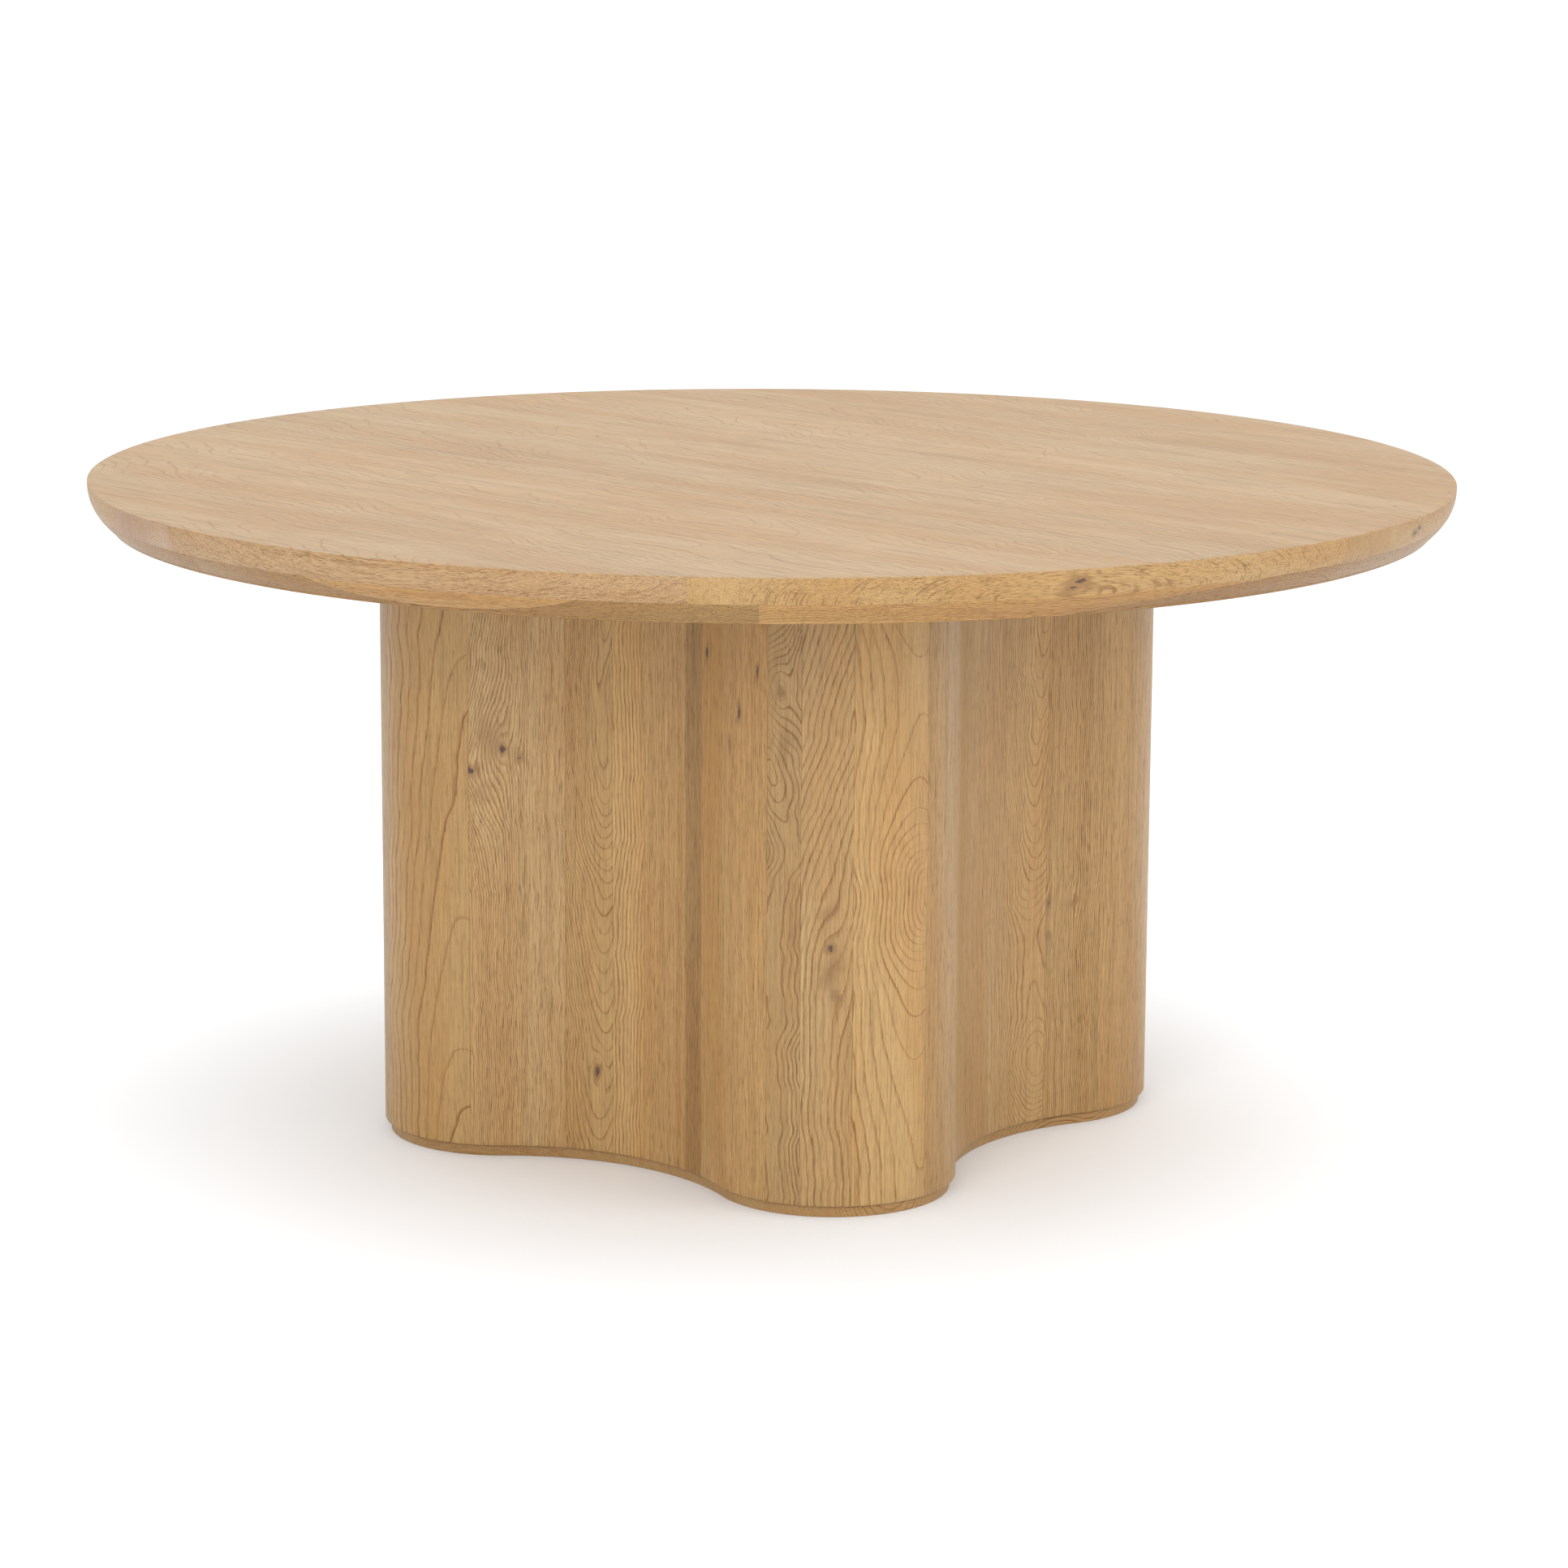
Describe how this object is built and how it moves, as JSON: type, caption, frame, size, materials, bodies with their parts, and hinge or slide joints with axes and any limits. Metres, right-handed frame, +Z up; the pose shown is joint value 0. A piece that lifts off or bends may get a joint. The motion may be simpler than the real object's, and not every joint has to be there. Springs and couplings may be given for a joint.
{
  "type": "round pedestal table",
  "caption": "Round table with an oak veneered top and a layered solid oak edge, on a hollow lobed pedestal of upright oak staves with a recessed plinth and levelling glides.",
  "frame": {"origin": "on the floor, at the centre of the pedestal and of the top", "axes": "+Z up through the centre of the top; the four lobes of the pedestal point along -Y (front), +X (right), +Y (back) and -X (left)"},
  "size_m": [1.524, 1.524, 0.743],
  "materials": {
    "top_veneer": "clear satin lacquer on oak veneer",
    "backing": "sealed oak veneer",
    "core_board": "raw particle board",
    "edge_oak": "clear satin lacquer on solid oak",
    "edge_end_grain": "clear satin lacquer on oak end grain",
    "edge_oak_lower": "clear satin lacquer on solid oak",
    "stave_oak": "clear satin lacquer on solid oak",
    "plinth_oak": "clear satin lacquer on solid oak",
    "plywood": "raw birch plywood",
    "steel": "zinc plated"
  },
  "bodies": {
    "table": {"face_veneer": "top_veneer", "core_panel": "core_board", "backing_veneer": "backing", "edge_upper_segment_1": "edge_oak", "edge_upper_block_1": "edge_end_grain", "edge_upper_segment_2": "edge_oak", "edge_upper_block_2": "edge_end_grain", "edge_upper_segment_3": "edge_oak", "edge_upper_block_3": "edge_end_grain", "edge_upper_segment_4": "edge_oak", "edge_upper_block_4": "edge_end_grain", "edge_upper_segment_5": "edge_oak", "edge_upper_block_5": "edge_end_grain", "edge_upper_segment_6": "edge_oak", "edge_upper_block_6": "edge_end_grain", "edge_lower_segment_1": "edge_oak_lower", "edge_lower_segment_2": "edge_oak_lower", "edge_lower_segment_3": "edge_oak_lower", "edge_lower_segment_4": "edge_oak_lower", "edge_lower_segment_5": "edge_oak_lower", "edge_lower_segment_6": "edge_oak_lower", "edge_lower_segment_7": "edge_oak_lower", "stave_01": "stave_oak", "stave_02": "stave_oak", "stave_03": "stave_oak", "stave_04": "stave_oak", "stave_05": "stave_oak", "stave_06": "stave_oak", "stave_07": "stave_oak", "stave_08": "stave_oak", "stave_09": "stave_oak", "stave_10": "stave_oak", "stave_11": "stave_oak", "stave_12": "stave_oak", "stave_13": "stave_oak", "stave_14": "stave_oak", "stave_15": "stave_oak", "stave_16": "stave_oak", "stave_17": "stave_oak", "stave_18": "stave_oak", "stave_19": "stave_oak", "stave_20": "stave_oak", "stave_21": "stave_oak", "stave_22": "stave_oak", "stave_23": "stave_oak", "stave_24": "stave_oak", "stave_25": "stave_oak", "stave_26": "stave_oak", "stave_27": "stave_oak", "stave_28": "stave_oak", "stave_29": "stave_oak", "plinth": "plinth_oak", "lower_former": "plywood", "middle_former": "plywood", "upper_former": "plywood", "mounting_plate": "plywood"},
    "glide_front": {"levelling_glide_front": "steel"},
    "glide_right": {"levelling_glide_right": "steel"},
    "glide_back": {"levelling_glide_back": "steel"},
    "glide_left": {"levelling_glide_left": "steel"}
  },
  "joints": [
    {"name": "glide_front_lift", "type": "slide", "parent": "table", "child": "glide_front", "axis": [0, 0, -1], "range_m": [0, 0.012]},
    {"name": "glide_right_lift", "type": "slide", "parent": "table", "child": "glide_right", "axis": [0, 0, -1], "range_m": [0, 0.012]},
    {"name": "glide_back_lift", "type": "slide", "parent": "table", "child": "glide_back", "axis": [0, 0, -1], "range_m": [0, 0.012]},
    {"name": "glide_left_lift", "type": "slide", "parent": "table", "child": "glide_left", "axis": [0, 0, -1], "range_m": [0, 0.012]}
  ]
}
